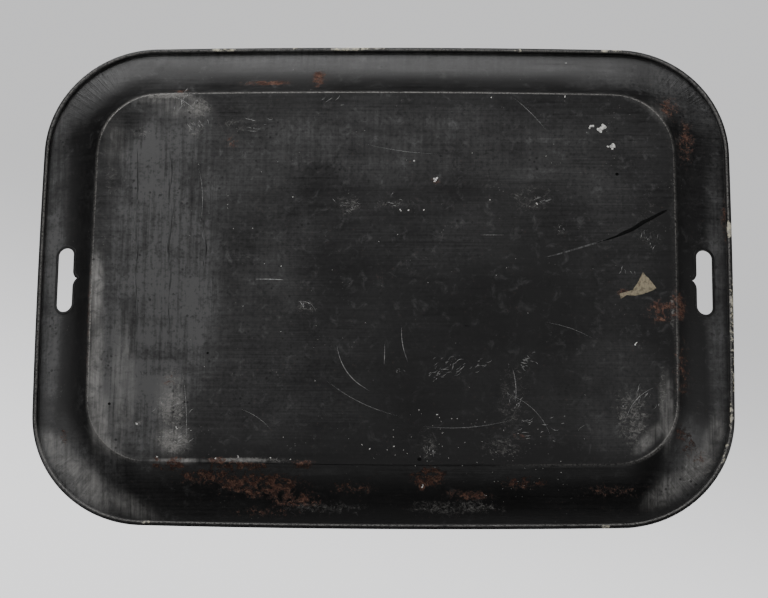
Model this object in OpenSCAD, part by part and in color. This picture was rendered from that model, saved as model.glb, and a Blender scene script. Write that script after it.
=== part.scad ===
// Large sheet-iron serving tray: a flat floor, a coved flange, a rim curled round a wire,
// and a hemmed hand hole through the flange at each end.
// Frame: the tray lies face up on the XY plane with its long side along X, and +Z is up.
// Origin: the middle of the tray, on the surface that it stands on.

/* [Tray] */
// Overall length along X, over the rim
tray_l = 760; // [680:5:840]
// Overall width along Y, over the rim
tray_w = 548; // [480:4:620]
// Overall height, from the underside to the top of the rim
tray_h = 32; // [28:1:38]

/* [Outline] */
// Radius of the four corners, at the outer edge of the rim
corner_r = 124; // [110:2:140]
// How far each long side bows outwards
long_bow = 5.5; // [3:0.5:9]
// How far each short side bows outwards
short_bow = 3.75; // [2:0.25:7]

/* [Sheet] */
// Thickness of the iron sheet
sheet_t = 0.9; // [0.6:0.1:1.2]
// Inside radius of the crease between floor and flange
crease_r = 1; // [0.5:0.25:3]

/* [Flange] */
// Slope of the flange where it leaves the floor, in degrees
slope_at_floor = 48; // [44:1:54]
// Slope of the flange where it meets the rim, in degrees
slope_at_rim = 6; // [3:1:10]

/* [Rim] */
// Diameter of the wire inside the curled rim
wire_d = 4; // [3:0.25:5]
// Clearance all round the wire
wire_fit = 0.05; // [0.03:0.01:0.15]
// Gap between the cut edge of the curl and the underside of the flange
curl_gap = 0.3; // [0.2:0.05:0.6]

/* [Hand holes] */
// Length of each hand hole, along Y
hole_l = 73; // [60:1:90]
// Width of each hand hole, without its point
hole_w = 18; // [15:0.5:20]
// Distance from the outer edge of the rim to the middle of each hole
hole_inset = 31.5; // [29:0.5:34]
// Depth of the point on the inner side of each hole
point_d = 5; // [3:0.25:6]
// Half the width of that point at its base
point_half = 9; // [7:0.5:12]

/* [Smoothness] */
// Steps round each corner
corner_steps = 18; // [12:1:20]
// Steps along half a side
side_steps = 3; // [2:1:4]
// Steps across the flange
flange_steps = 8; // [6:1:9]
// Steps round the curl
curl_steps = 12; // [10:1:13]
// Steps across the crease
crease_steps = 3; // [2:1:4]

/* [Hidden] */
$fn = 96;

// The curl round the wire, in section
curl_in = wire_d / 2 + wire_fit;
curl_out = curl_in + sheet_t;
curl_open = 90 + slope_at_rim + acos((curl_in - curl_gap) / curl_out);

// The flange is one arc, tangent to the crease below it and to the curl above it
crease_out = crease_r + sheet_t;
flange_rise = tray_h - curl_out + curl_in * cos(slope_at_rim) - crease_out * (1 - cos(slope_at_floor));
flange_r = flange_rise / (cos(slope_at_rim) - cos(slope_at_floor));
flange_w = (crease_out + flange_r) * sin(slope_at_floor) - (flange_r - curl_in) * sin(slope_at_rim) + curl_out;

// Centres in section: u runs outwards from the outer edge of the rim, and z runs up
crease_c = [-flange_w, crease_out];
flange_c = crease_c + (crease_out + flange_r) * [sin(slope_at_floor), -cos(slope_at_floor)];
curl_c = flange_c + (flange_r - curl_in) * [-sin(slope_at_rim), cos(slope_at_rim)];

// The outline is eight tangent arcs: two long sides, two short sides and four corners
long_r = (pow(tray_l / 2, 2) + pow(long_bow, 2)) / (2 * long_bow);
short_r = (pow(tray_w / 2, 2) + pow(short_bow, 2)) / (2 * short_bow);
long_c = [0, tray_w / 2 - long_r];
short_c = [tray_l / 2 - short_r, 0];
corner_c = circles_meet(long_c, long_r - corner_r, short_c, short_r - corner_r);
long_a = atan2(corner_c.y - long_c.y, corner_c.x - long_c.x);
short_a = atan2(corner_c.y - short_c.y, corner_c.x - short_c.x);

// The outward directions at which the outline is drawn, from 0 to 90 degrees and then all round
quarter = [
    for (k = [0:side_steps - 1]) short_a * k / side_steps,
    for (k = [0:corner_steps - 1]) short_a + (long_a - short_a) * k / corner_steps,
    for (k = [0:side_steps - 1]) long_a + (90 - long_a) * k / side_steps
];
last = len(quarter) - 1;
half_turn = [each quarter, 90, for (k = [last:-1:1]) 180 - quarter[k]];
stations = [each half_turn, for (a = half_turn) 180 + a];

// The sheet in section, from the edge of the floor's underside, round the curl, to the floor's upper face
sheet_path = [
    each arc(crease_c, crease_out, -90, slope_at_floor - 90, crease_steps),
    each arc(flange_c, flange_r, 90 + slope_at_floor, 90 + slope_at_rim, flange_steps, 1),
    each arc(curl_c, curl_in, 90 + slope_at_rim, curl_open - 360, curl_steps, 1),
    each arc(curl_c, curl_out, curl_open - 360, 90 + slope_at_rim, curl_steps),
    each arc(flange_c, flange_r + sheet_t, 90 + slope_at_rim, 90 + slope_at_floor, flange_steps, 1),
    each arc(crease_c, crease_r, slope_at_floor - 90, -90, crease_steps, 1)
];
wire_path = arc(curl_c, wire_d / 2, 360, 0, curl_steps, 1);

// The upper right crossing of the circles (a, ra) and (b, rb)
function circles_meet(a, ra, b, rb) =
    let (d = norm(a - b), way = (a - b) / d, t = (rb * rb - ra * ra + d * d) / (2 * d))
    b + t * way + sqrt(rb * rb - t * t) * [-way.y, way.x];

// Points along an arc round c, from angle a0 to a1, without the first few
function arc(c, r, a0, a1, steps, skip = 0) =
    [for (k = [skip:steps]) let (a = a0 + (a1 - a0) * k / steps) c + r * [cos(a), sin(a)]];

// The point of the outline whose outward direction is a, moved outwards by u and up by z
function on_outline(a, u, z) =
    let (
        side = [cos(a) < 0 ? -1 : 1, sin(a) < 0 ? -1 : 1],
        f = asin(abs(sin(a))),
        c = f < short_a ? short_c : f < long_a ? corner_c : long_c,
        r = (f < short_a ? short_r : f < long_a ? corner_r : long_r) + u
    )
    [side.x * (c.x + r * cos(f)), side.y * (c.y + r * sin(f)), z];

// Carries a section, a path in u and z, round the whole outline
module sweep(path, ring) {
    n = len(path);
    m = len(stations);
    strip = [
        for (i = [0:m - 1], j = [0:n - (ring ? 1 : 2)])
            let (i2 = (i + 1) % m, j2 = (j + 1) % n) [i * n + j, i2 * n + j, i2 * n + j2, i * n + j2]
    ];
    caps = [[for (i = [0:m - 1]) i * n], [for (i = [m - 1:-1:0]) i * n + n - 1]];
    polyhedron([for (a = stations, p = path) on_outline(a, p.x, p.y)], ring ? strip : concat(strip, caps));
}

// The outline of the hand hole at the +X end
module hole_outline() {
    half_w = hole_w / 2;
    scoop_r = (pow(point_half, 2) + pow(point_d, 2)) / (2 * point_d);
    translate([tray_l / 2 - hole_inset, 0]) {
        square([2 * half_w, hole_l - hole_w], center = true);
        for (end = [-1, 1]) translate([0, end * (hole_l - hole_w) / 2]) circle(half_w);
        difference() {
            translate([-half_w - 1.2 * point_d, -point_half]) square([1.5 * point_d, 2 * point_half]);
            for (end = [-1, 1]) translate([-half_w - scoop_r, end * point_half]) circle(scoop_r);
        }
    }
}

module pan() {
    color("#26262a") difference() {
        sweep(sheet_path, ring = false);
        for (x = [0, 1]) mirror([x, 0])
            translate([0, 0, -tray_h]) linear_extrude(3 * tray_h) hole_outline();
    }
}

module rim_wire() {
    color("#6b5a50") sweep(wire_path, ring = true);
}

pan();
rim_wire();
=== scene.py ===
"""Dresses the frame of a large sheet-iron tray: worn black lacquer with painted reflection and painted
shade, rubbed edges and a painted face.
"""

import math
import random
from functools import partial

import bmesh
import bpy
from bpy.props import FloatProperty, FloatVectorProperty, IntProperty, PointerProperty
from bpy.types import Operator, Panel, PropertyGroup
from mathutils import Matrix, Vector
from mathutils.noise import noise


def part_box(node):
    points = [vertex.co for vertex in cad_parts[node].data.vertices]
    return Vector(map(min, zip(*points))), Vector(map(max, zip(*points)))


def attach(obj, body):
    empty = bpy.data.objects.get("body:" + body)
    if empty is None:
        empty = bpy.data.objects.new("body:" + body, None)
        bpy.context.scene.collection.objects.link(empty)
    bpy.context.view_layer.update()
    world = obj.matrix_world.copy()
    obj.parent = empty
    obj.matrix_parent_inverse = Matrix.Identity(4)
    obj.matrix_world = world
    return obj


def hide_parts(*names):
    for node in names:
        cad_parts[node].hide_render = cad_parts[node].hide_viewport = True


bl_info = {
    "name": "Painted Iron Tray",
    "version": (1, 0, 0),
    "blender": (4, 5, 0),
    "location": "3D View > Sidebar > Tray",
    "description": "Models a wired iron tray with worn lacquer, gilding and a painted bouquet",
    "category": "Add Mesh",
}

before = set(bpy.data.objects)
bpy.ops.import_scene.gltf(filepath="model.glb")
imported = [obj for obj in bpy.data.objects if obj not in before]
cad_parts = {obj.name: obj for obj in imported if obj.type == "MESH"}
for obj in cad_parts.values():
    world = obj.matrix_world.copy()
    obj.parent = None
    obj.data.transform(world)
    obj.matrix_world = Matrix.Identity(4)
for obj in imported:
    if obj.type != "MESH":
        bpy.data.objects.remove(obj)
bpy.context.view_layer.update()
pan_low, pan_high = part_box("pan")
MM = 0.001
STEPS = (30, 36, 52)  # points along half a short side, round a corner and along half a long side


# ---------------------------------------------------------------- sizes and colours


def length(name, description, millimetres):
    """A length property whose default is given in millimetres."""
    metres = millimetres * MM
    return FloatProperty(name=name, description=description, default=metres, unit="LENGTH", precision=5)


def colour(name, description, *rgb):
    return FloatVectorProperty(name=name, description=description, default=rgb, size=3, subtype="COLOR")


def angle(name, description, degrees):
    return FloatProperty(name=name, description=description, default=math.radians(degrees), subtype="ANGLE")


class TraySizes(PropertyGroup):
    corner_radius: length("Corner radius", "Radius of the four corners at the rim", 124)
    long_bow: length("Long bow", "How far each long side bows outwards", 5.5)
    short_bow: length("Short bow", "How far each short side bows outwards", 3.75)
    sheet: length("Sheet", "Thickness of the iron sheet", 0.9)
    crease_radius: length("Crease radius", "Inside radius between floor and flange", 1)
    slope_at_floor: angle("Slope at floor", "Slope of the flange where it leaves the floor", 48)
    slope_at_rim: angle("Slope at rim", "Slope of the flange where it meets the rim", 6)
    wire: length("Wire", "Diameter of the wire in the rim", 4)
    wire_fit: length("Wire fit", "Clearance round the wire", 0.05)
    curl_gap: length("Curl gap", "Gap between the curl's edge and the flange", 0.3)
    hole_length: length("Hole length", "Length of each hand hole", 73)
    hole_width: length("Hole width", "Width of each hand hole", 18)
    hole_inset: length("Hole inset", "From the rim to the middle of a hand hole", 31.5)
    point_depth: length("Point depth", "Depth of the point on a hand hole", 5)
    point_half: length("Point half width", "Half the width of that point at its base", 9)
    hem: length("Hem", "Width of the hem round a hand hole", 2.6)


class TrayWear(PropertyGroup):
    crown: length("Crown", "How far the middle of the floor has sprung up", 0.7)
    waves: length("Waves", "Depth of the dents in the floor", 0.55)
    rim_waves: length("Rim waves", "How far the flange is out of true", 0.35)
    corner_ease: length("Corner ease", "How much larger the floor's corner radius is than a parallel one", 7)
    seed: IntProperty(name="Seed", description="Chooses the small scratches and flecks", default=11)


class TrayColours(PropertyGroup):
    lacquer: colour("Lacquer", "Black japan on the underside", 0.0036, 0.0035, 0.0037)
    # This grey also stands for painted reflection on the underside, mixed with dust.
    bloom_and_sheen: colour("Bloom", "Grey bloom of dust and wear on old lacquer", 0.085, 0.085, 0.0855)
    bare: colour("Bare iron", "Iron rubbed bare", 0.3, 0.29, 0.275)
    pale: colour("Pale wear", "Lacquer worn pale along the edges", 0.325, 0.318, 0.306)
    rust: colour("Rust", "Rust that breaks through the lacquer", 0.115, 0.051, 0.036)
    old_rust: colour("Old rust", "Darker rust in the pits", 0.034, 0.015, 0.010)
    fresh_rust: colour("Fresh rust", "Brighter rust on the crests", 0.25, 0.138, 0.096)
    primer: colour("Chips", "Cream ground that shows in chips on the rim", 0.62, 0.58, 0.44)
    face: colour("Face", "Black ground under the bouquet", 0.006, 0.006, 0.0065)
    paper: colour("Paper", "Old paper of the label scrap", 0.36, 0.31, 0.21)
    gilt: colour("Gilt", "Bronze-powder gilding", 0.55, 0.34, 0.1)
    rose: colour("Rose", "Crimson flowers", 0.42, 0.012, 0.022)
    blush: colour("Blush", "Pink and white flowers", 0.72, 0.27, 0.26)
    sun: colour("Sun", "Yellow flowers", 0.72, 0.31, 0.03)
    sky: colour("Sky", "Blue flowers", 0.06, 0.13, 0.42)
    leaf: colour("Leaf", "Leaves and stems", 0.05, 0.13, 0.025)


class TrayStage(PropertyGroup):
    distance: length("Distance", "From the camera to the middle of the tray", 3200)
    lean: angle("Lean", "How far the tray leans back from the camera", 16.46)
    turn: angle("Turn", "How far the tray turns to one side", -1.72)
    roll: angle("Roll", "How far the tray is out of level", -0.23)
    lens: length("Lens", "Focal length of the camera", 137.3)
    aim: angle("Aim", "How far the camera aims below the middle of the tray", 0.313)


# ---------------------------------------------------------------- the sheet's shape


class Sheet:
    """Where the sheet lies. Places are u, the distance outwards from the rim, and a direction."""

    def __init__(self, sizes, wear):
        self.sizes = sizes
        self.wear = wear
        self.half_l = (pan_high[0] - pan_low[0]) / 2
        self.half_w = (pan_high[1] - pan_low[1]) / 2
        self.height = pan_high[2]
        self.lay_out_section()
        self.lay_out_outline()

    def lay_out_section(self):
        s = self.sizes
        self.curl_in = s.wire / 2 + s.wire_fit
        self.curl_out = self.curl_in + s.sheet
        self.crease_out = s.crease_radius + s.sheet
        floor_cos, rim_cos = math.cos(s.slope_at_floor), math.cos(s.slope_at_rim)
        rise = self.height - self.curl_out + self.curl_in * rim_cos - self.crease_out * (1 - floor_cos)
        self.flange_r = rise / (rim_cos - floor_cos)
        reach = self.crease_out + self.flange_r
        inset = (self.flange_r - self.curl_in) * math.sin(s.slope_at_rim)
        self.flange_w = reach * math.sin(s.slope_at_floor) - inset + self.curl_out
        self.crease_c = Vector((-self.flange_w, self.crease_out))
        self.flange_c = self.crease_c + reach * Vector((math.sin(s.slope_at_floor), -floor_cos))
        to_rim = Vector((-math.sin(s.slope_at_rim), rim_cos))
        self.curl_c = self.flange_c + (self.flange_r - self.curl_in) * to_rim
        self.bend_u = self.crease_c.x + self.crease_out * math.sin(s.slope_at_floor)

    def lay_out_outline(self):
        s = self.sizes
        self.long_r = (self.half_l**2 + s.long_bow**2) / (2 * s.long_bow)
        self.short_r = (self.half_w**2 + s.short_bow**2) / (2 * s.short_bow)
        self.long_c = Vector((0, self.half_w - self.long_r))
        self.short_c = Vector((self.half_l - self.short_r, 0))
        ra, rb = self.long_r - s.corner_radius, self.short_r - s.corner_radius
        gap = (self.long_c - self.short_c).length
        way = (self.long_c - self.short_c) / gap
        along = (rb**2 - ra**2 + gap**2) / (2 * gap)
        self.corner_c = self.short_c + along * way + math.sqrt(rb**2 - along**2) * Vector((-way.y, way.x))
        to_long, to_short = self.corner_c - self.long_c, self.corner_c - self.short_c
        self.long_a = math.atan2(to_long.y, to_long.x)
        self.short_a = math.atan2(to_short.y, to_short.x)

    def stations(self, short_steps, corner_steps, long_steps):
        """Directions all round the outline, with steps along half of each side and round a corner."""
        quarter = [self.short_a * k / short_steps for k in range(short_steps)]
        corner_a = self.long_a - self.short_a
        quarter += [self.short_a + corner_a * k / corner_steps for k in range(corner_steps)]
        quarter += [self.long_a + (math.pi / 2 - self.long_a) * k / long_steps for k in range(long_steps)]
        half = quarter + [math.pi / 2] + [math.pi - a for a in quarter[:0:-1]]
        return half + [a + math.pi for a in half]

    def cornering(self, direction):
        """1 in the middle of a corner and 0 along the sides."""
        folded = math.asin(min(1, abs(math.sin(direction))))
        share = (folded - self.short_a) / (self.long_a - self.short_a)
        return math.sin(math.pi * share) ** 2 if 0 < share < 1 else 0

    def ease(self, u):
        """How much larger than a parallel line the corner radius is at u."""
        share = min(1, max(0, -u / self.flange_w))
        return self.wear.corner_ease * share**1.5

    def at(self, direction, u):
        """The point at u in a direction, as x and y."""
        folded = math.asin(min(1, abs(math.sin(direction))))
        ease = self.ease(u)
        if self.short_a <= folded < self.long_a:
            radius = self.sizes.corner_radius + ease + u
            x = self.corner_c.x - ease + radius * math.cos(folded)
            y = self.corner_c.y - ease + radius * math.sin(folded)
        elif folded < self.short_a:
            share = folded / self.short_a
            x = self.short_c.x + (self.short_r + u) * math.cos(folded)
            y = (self.short_r + u) * math.sin(folded) - share * ease * (1 - math.sin(self.short_a))
        else:
            share = (math.pi / 2 - folded) / (math.pi / 2 - self.long_a)
            x = (self.long_r + u) * math.cos(folded) - share * ease * (1 - math.cos(self.long_a))
            y = self.long_c.y + (self.long_r + u) * math.sin(folded)
        return math.copysign(x, math.cos(direction)), math.copysign(y, math.sin(direction))

    def where(self, x, y):
        """The direction and u of a point: the inverse of at()."""
        p = Vector((abs(x), abs(y)))
        to_long, to_short = p - self.long_c, p - self.short_c
        long_u, short_u = to_long.length - self.long_r, to_short.length - self.short_r
        side = to_long if long_u > short_u else to_short
        raw, u = max(long_u, short_u), max(long_u, short_u)
        folded = math.atan2(side.y, side.x)
        for _ in range(3):
            ease = self.ease(u)
            spoke = p - self.corner_c + Vector((ease, ease))
            turn = math.atan2(spoke.y, spoke.x)
            if self.short_a <= turn <= self.long_a and spoke.x > 0 and spoke.y > 0:
                u = spoke.length - self.sizes.corner_radius - ease
                folded = turn
            else:
                u = raw
        direction = math.atan2(math.copysign(math.sin(folded), y), math.copysign(math.cos(folded), x))
        return direction, u

    def lower_face(self, u):
        """Height of the sheet's lower face, without dents."""
        if u <= self.crease_c.x:
            return 0
        if u < self.bend_u:
            return self.crease_out - math.sqrt(self.crease_out**2 - (u - self.crease_c.x) ** 2)
        u = min(u, self.curl_c.x)
        return self.flange_c.y + math.sqrt(self.flange_r**2 - (u - self.flange_c.x) ** 2)

    def upper_face(self, u):
        """Height of the sheet's upper face, without dents."""
        crease_r = self.sizes.crease_radius
        bend_u = self.crease_c.x + crease_r * math.sin(self.sizes.slope_at_floor)
        if u <= self.crease_c.x:
            return self.sizes.sheet
        if u < bend_u:
            return self.crease_out - math.sqrt(crease_r**2 - (u - self.crease_c.x) ** 2)
        outer = self.flange_r + self.sizes.sheet
        if u < self.curl_c.x:
            return self.flange_c.y + math.sqrt(outer**2 - (u - self.flange_c.x) ** 2)
        return self.curl_c.y + math.sqrt(max(0, self.curl_out**2 - (u - self.curl_c.x) ** 2))

    def dent(self, x, y):
        """How far the sheet is bent up at a point."""
        direction, u = self.where(x, y)
        inside = smooth(-self.flange_w, -self.flange_w - 40 * MM, u)
        crown = self.wear.crown * max(0, 1 - (x / 0.32) ** 2) * max(0, 1 - (y / 0.22) ** 2)
        broad = 0.5 + 0.5 * noise(Vector((x * 7, y * 7, 0.3)))
        lumps = 0.5 + 0.5 * noise(Vector((x * 22, y * 22, 4.1)))
        floor = inside * (crown + self.wear.waves * (0.75 * broad + 0.25 * lumps) + self.pleats(x, y))
        outside = smooth(-self.flange_w, -0.35 * self.flange_w, u)
        sway = 0.5 + 0.5 * noise(Vector((x * 9, y * 9, 7.7)))
        knocks = self.cornering(direction) * (0.5 + 0.5 * noise(Vector((x * 45, y * 45, 2.2))))
        return floor - self.wear.rim_waves * outside * (0.7 * sway + 0.3 * knocks)

    def pleats(self, x, y):
        """The two faint wavy ridges that run across one end of the floor."""
        height = 0
        for middle in (270 * MM, 234 * MM):
            wander = 2.5 * MM * noise(Vector((0, y * 14, middle * 40)))
            reach = smooth(-150 * MM, -60 * MM, y) * smooth(170 * MM, 120 * MM, y)
            height += 0.3 * MM * reach * math.exp(-(((x - middle - wander) / (4.2 * MM)) ** 2))
        return height


def smooth(low, high, value):
    """0 at low, 1 at high and a smooth way between them."""
    share = min(1, max(0, (value - low) / (high - low)))
    return share * share * (3 - 2 * share)


def arc(centre, radius, start, end, steps, skip=0):
    """Points along an arc in section, from one angle to another in degrees, without the first few."""
    turns = [math.radians(start + (end - start) * k / steps) for k in range(skip, steps + 1)]
    return [centre + radius * Vector((math.cos(t), math.sin(t))) for t in turns]


# ---------------------------------------------------------------- modelling


def tidy_selection():
    """Back to object mode with nothing selected."""
    if bpy.context.object and bpy.context.object.mode != "OBJECT":
        bpy.ops.object.mode_set(mode="OBJECT")
    bpy.ops.object.select_all(action="DESELECT")


def pick(piece):
    tidy_selection()
    piece.select_set(True)
    bpy.context.view_layer.objects.active = piece


def net(name, columns, rows, place):
    """A grid primitive whose point in column i and row j is put at place(i, j)."""
    tidy_selection()
    bpy.ops.mesh.primitive_grid_add(x_subdivisions=columns - 1, y_subdivisions=rows - 1, size=1)
    piece = bpy.context.object
    piece.name = piece.data.name = name
    for v in piece.data.vertices:
        i = round((v.co.x + 0.5) * (columns - 1))
        j = round((v.co.y + 0.5) * (rows - 1))
        v.co = place(i, j)
    return piece


def weld(piece, recalculate=True):
    """Merges doubles and turns the faces outwards."""
    pick(piece)
    bpy.ops.object.mode_set(mode="EDIT")
    bpy.ops.mesh.select_all(action="SELECT")
    bpy.ops.mesh.remove_doubles(threshold=0.01 * MM)
    if recalculate:
        bpy.ops.mesh.normals_make_consistent(inside=False)
    bpy.ops.object.mode_set(mode="OBJECT")


def apply(piece, kind, **settings):
    """Adds a modifier to a piece and applies it."""
    pick(piece)
    modifier = piece.modifiers.new(kind.title(), kind)
    for key, value in settings.items():
        setattr(modifier, key, value)
    bpy.ops.object.modifier_apply(modifier=modifier.name)


def join(name, pieces):
    """Makes several pieces one."""
    tidy_selection()
    for piece in pieces:
        piece.select_set(True)
    bpy.context.view_layer.objects.active = pieces[0]
    if len(pieces) > 1:
        bpy.ops.object.join()
    whole = bpy.context.object
    whole.name = whole.data.name = name
    return whole


def finish_piece(piece, slot, *materials):
    """Smooths a piece, gives it its materials and lets it ride on the tray."""
    piece.data.materials.clear()
    for material in materials:
        piece.data.materials.append(material)
    pick(piece)
    bpy.ops.object.shade_smooth_by_angle(angle=math.radians(38))
    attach(piece, "root")


def swept(name, sheet, path, ring=False):
    """Carries a section, a path of u and height, round the whole outline."""
    stations = sheet.stations(*STEPS)
    count = len(stations)
    path = list(path) + ([path[0]] if ring else [])

    def place(i, j):
        x, y = sheet.at(stations[i % count], path[j].x)
        return x, y, path[j].y + sheet.dent(*sheet.at(stations[i % count], min(path[j].x, sheet.curl_c.x)))

    piece = net(name, count + 1, len(path), place)
    weld(piece, recalculate=ring)
    return piece


def hole_edge(sizes, half_l, side):
    """The outline of a hand hole, as points round it with their outward directions."""
    middle = half_l - sizes.hole_inset
    half_w = sizes.hole_width / 2
    end_y = sizes.hole_length / 2 - half_w
    scoop = (sizes.point_half**2 + sizes.point_depth**2) / (2 * sizes.point_depth)
    reach = math.asin(sizes.point_half / scoop)
    half = [(half_w, end_y * k / 4.5) for k in range(1, 5)]
    for k in range(17):
        turn = math.pi * k / 16
        half.append((half_w * math.cos(turn), end_y + half_w * math.sin(turn)))
    half += [(-half_w, end_y + (sizes.point_half - end_y) * k / 4) for k in range(1, 4)]
    for k in range(9):
        turn = reach * k / 8
        half.append((-half_w - scoop * (1 - math.cos(turn)), sizes.point_half - scoop * math.sin(turn)))
    points = [(half_w, 0), *half, *((x, -y) for x, y in half[-2::-1])]
    flat = [Vector((side * (middle + x), y)) for x, y in points]
    edge = []
    for k, p in enumerate(flat):
        before, after = flat[k - 1], flat[(k + 1) % len(flat)]
        along = (after - before).normalized()
        edge.append((p, side * Vector((along.y, -along.x))))
    return edge


def build_pan(sheet):
    """One sheet: the floor, the flange and the curl, with its thickness and its hand holes."""
    sizes = sheet.sizes
    rim, floor = math.degrees(sizes.slope_at_rim), math.degrees(sizes.slope_at_floor)
    open_at = 90 + rim + math.degrees(math.acos((sheet.curl_in - sizes.curl_gap) / sheet.curl_out))
    path = arc(sheet.crease_c, sheet.crease_out, -90, floor - 90, 4)
    path += arc(sheet.flange_c, sheet.flange_r, 90 + floor, 90 + rim, 18, 1)
    path += arc(sheet.curl_c, sheet.curl_in, 90 + rim, open_at - 360, 16, 1)
    pan = swept("tray_pan", sheet, path)
    fill_floor(pan, sheet)
    apply(pan, "SOLIDIFY", thickness=sizes.sheet, offset=-1, use_even_offset=True)
    for side in (-1, 1):
        edge = hole_edge(sizes, sheet.half_l, side)

        def place(i, j):
            return *edge[i % len(edge)][0], (2 * j - 0.5) * sheet.height

        cutter = net("hole_cutter", len(edge) + 1, 2, place)
        close_ends(cutter)
        apply(pan, "BOOLEAN", operation="DIFFERENCE", object=cutter, solver="EXACT")
        bpy.data.objects.remove(cutter)
    return pan


def close_ends(piece):
    """Caps the two open ends of a tube."""
    weld(piece)
    pick(piece)
    bpy.ops.object.mode_set(mode="EDIT")
    bpy.ops.mesh.select_all(action="DESELECT")
    bpy.ops.mesh.select_mode(type="EDGE")
    bpy.ops.mesh.select_non_manifold()
    bpy.ops.mesh.edge_face_add()
    bpy.ops.mesh.select_mode(type="VERT")
    bpy.ops.mesh.select_all(action="SELECT")
    bpy.ops.mesh.normals_make_consistent(inside=False)
    bpy.ops.object.mode_set(mode="OBJECT")


def fill_floor(pan, sheet):
    """Fills the inner edge of the swept flange with a grid, and bends it to the dents."""
    pick(pan)
    bpy.ops.object.mode_set(mode="EDIT")
    bpy.ops.mesh.select_mode(type="VERT")
    bpy.ops.mesh.select_all(action="DESELECT")
    mesh = bmesh.from_edit_mesh(pan.data)
    corner = None
    middle = Vector(sheet.at((sheet.short_a + sheet.long_a) / 2, -sheet.flange_w))
    for v in mesh.verts:
        if v.is_boundary and sheet.where(v.co.x, v.co.y)[1] < -0.9 * sheet.flange_w:
            v.select = True
            if corner is None or (v.co.xy - middle).length < (corner.co.xy - middle).length:
                corner = v
    mesh.select_flush_mode()
    mesh.select_history.clear()
    mesh.select_history.add(corner)
    bmesh.update_edit_mesh(pan.data)
    bpy.ops.mesh.fill_grid(span=2 * STEPS[2] + STEPS[1], offset=0)
    bpy.ops.mesh.select_all(action="SELECT")
    bpy.ops.mesh.normals_make_consistent(inside=False)
    bpy.ops.object.mode_set(mode="OBJECT")
    lowest = min(pan.data.polygons, key=lambda f: f.center.xy.length)
    if lowest.normal.z > 0:
        pan.data.flip_normals()
    for v in pan.data.vertices:
        if sheet.where(v.co.x, v.co.y)[1] < -sheet.flange_w - 0.05 * MM:
            v.co.z = sheet.dent(v.co.x, v.co.y)


def build_hems(sheet):
    """The edges of the hand holes, folded back under the flange."""
    sizes = sheet.sizes
    drawn_for = 2.6
    section = [(0.3, 1.12), (-0.15, 0.98), (-0.42, 0.5), (-0.42, 0), (-0.2, -0.55), (0.3, -0.8)]
    section += [(1.4, -0.86), (2.2, -0.72), (drawn_for, -0.3), (2.7, 0.3)]
    hems = []
    for side in (-1, 1):
        edge = hole_edge(sizes, sheet.half_l, side)

        def place(i, j):
            p, outwards = edge[i % len(edge)]
            grow, rise = section[j % len(section)]
            q = p + outwards * grow * sizes.hem / drawn_for
            u = sheet.where(q.x, q.y)[1]
            return q.x, q.y, sheet.lower_face(u) + sheet.dent(q.x, q.y) + rise * MM

        hem = net("hem", len(edge) + 1, len(section) + 1, place)
        weld(hem)
        hems.append(hem)
    return join("hand_hole_hems", hems)


# ---------------------------------------------------------------- wear, painted reflection and painted shade on the underside
# Places are in millimetres as seen from below, with x to the right and y up.


class Patch:
    """An oval patch with a soft edge, for wear and for painted reflection and shade."""

    def __init__(self, x, y, length, width, strength=1.0, turn=0.0):
        self.centre = Vector((-x, y)) * MM
        self.half = Vector((length, width)) * MM / 2
        self.strength = strength
        self.turn = math.radians(-turn)

    def weight(self, x, y):
        d = Vector((x, y)) - self.centre
        if max(abs(d.x), abs(d.y)) > 1.25 * max(self.half):
            return 0
        c, s = math.cos(self.turn), math.sin(self.turn)
        away = Vector(((c * d.x + s * d.y) / self.half.x, (c * d.y - s * d.x) / self.half.y)).length
        return self.strength * (1 - smooth(0.35, 1.25, away))


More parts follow.
